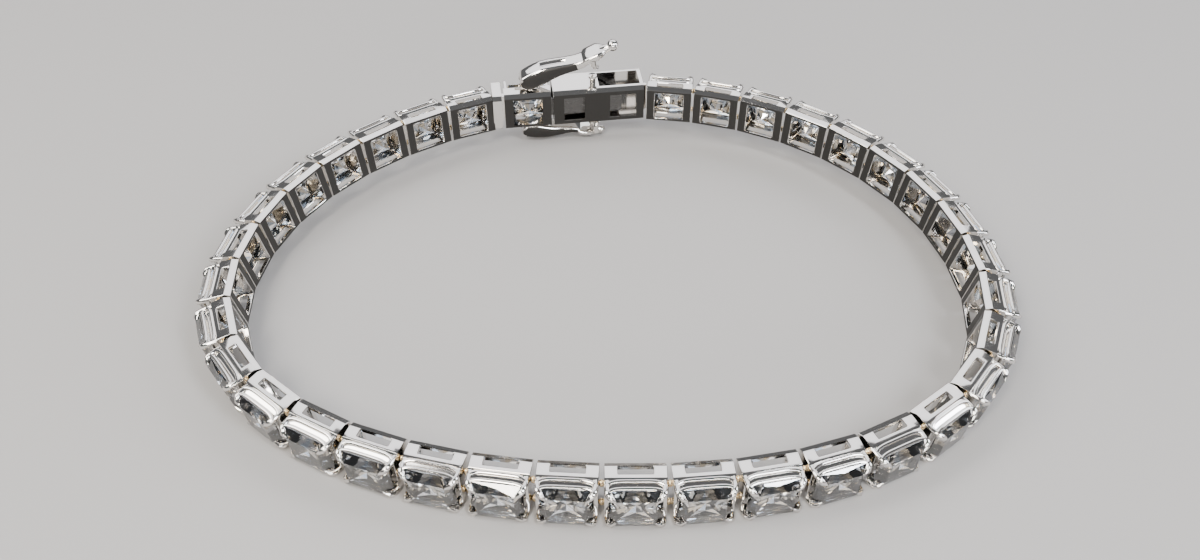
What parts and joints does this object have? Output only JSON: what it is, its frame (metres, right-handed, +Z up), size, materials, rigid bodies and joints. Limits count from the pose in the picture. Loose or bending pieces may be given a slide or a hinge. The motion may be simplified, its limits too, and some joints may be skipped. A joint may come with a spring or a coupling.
{
  "type": "tennis bracelet",
  "caption": "Flexible line bracelet of square clear stones in hinged white metal box settings, with a box clasp and two safety latches.",
  "frame": {"origin": "centre of the loop's bounding box at the surface it lies on", "axes": "+Z up, +Y towards the clasp at the back, +X along the clasp to the right"},
  "size_m": [0.0662, 0.0526, 0.0105],
  "materials": {
    "polished_white_metal": "polished rhodium-plated white gold, with satin inner plates",
    "satin_white_metal": "satin spring metal",
    "clear_stone": "faceted clear square-cut stone"
  },
  "bodies": {
    "bracelet": {"links_01_02": "polished_white_metal", "links_03_04": "polished_white_metal", "links_05_06": "polished_white_metal", "links_07_08": "polished_white_metal", "links_09_10": "polished_white_metal", "links_11_12": "polished_white_metal", "links_13_14": "polished_white_metal", "links_15_16": "polished_white_metal", "links_17_18": "polished_white_metal", "links_19_20": "polished_white_metal", "links_21_22": "polished_white_metal", "links_23_24": "polished_white_metal", "links_25_26": "polished_white_metal", "links_27_28": "polished_white_metal", "links_29_30": "polished_white_metal", "links_31_32": "polished_white_metal", "links_33_34": "polished_white_metal", "stone_01": "clear_stone", "stone_02": "clear_stone", "stone_03": "clear_stone", "stone_04": "clear_stone", "stone_05": "clear_stone", "stone_06": "clear_stone", "stone_07": "clear_stone", "stone_08": "clear_stone", "stone_09": "clear_stone", "stone_10": "clear_stone", "stone_11": "clear_stone", "stone_12": "clear_stone", "stone_13": "clear_stone", "stone_14": "clear_stone", "stone_15": "clear_stone", "stone_16": "clear_stone", "stone_17": "clear_stone", "stone_18": "clear_stone", "stone_19": "clear_stone", "stone_20": "clear_stone", "stone_21": "clear_stone", "stone_22": "clear_stone", "stone_23": "clear_stone", "stone_24": "clear_stone", "stone_25": "clear_stone", "stone_26": "clear_stone", "stone_27": "clear_stone", "stone_28": "clear_stone", "stone_29": "clear_stone", "stone_30": "clear_stone", "stone_31": "clear_stone", "stone_32": "clear_stone", "stone_33": "clear_stone", "stone_34": "clear_stone", "stone_35": "clear_stone", "end_ring": "polished_white_metal", "tongue_link": "polished_white_metal", "tongue_spring": "satin_white_metal", "clasp_box": "polished_white_metal"},
    "upper_latch": {"latch_upper": "polished_white_metal"},
    "lower_latch": {"latch_lower": "polished_white_metal"}
  },
  "joints": [
    {"name": "upper_latch_hinge", "type": "hinge", "parent": "bracelet", "child": "upper_latch", "pos_m": [-0.00749, 0.02261, 0.00699], "axis": [0.1308, -0.9904, -0.0452], "range_deg": [-15, 80]},
    {"name": "lower_latch_hinge", "type": "hinge", "parent": "bracelet", "child": "lower_latch", "pos_m": [-0.00749, 0.02287, 0.0013], "axis": [-0.1308, 0.9904, 0.0452], "range_deg": [0, 90]}
  ]
}
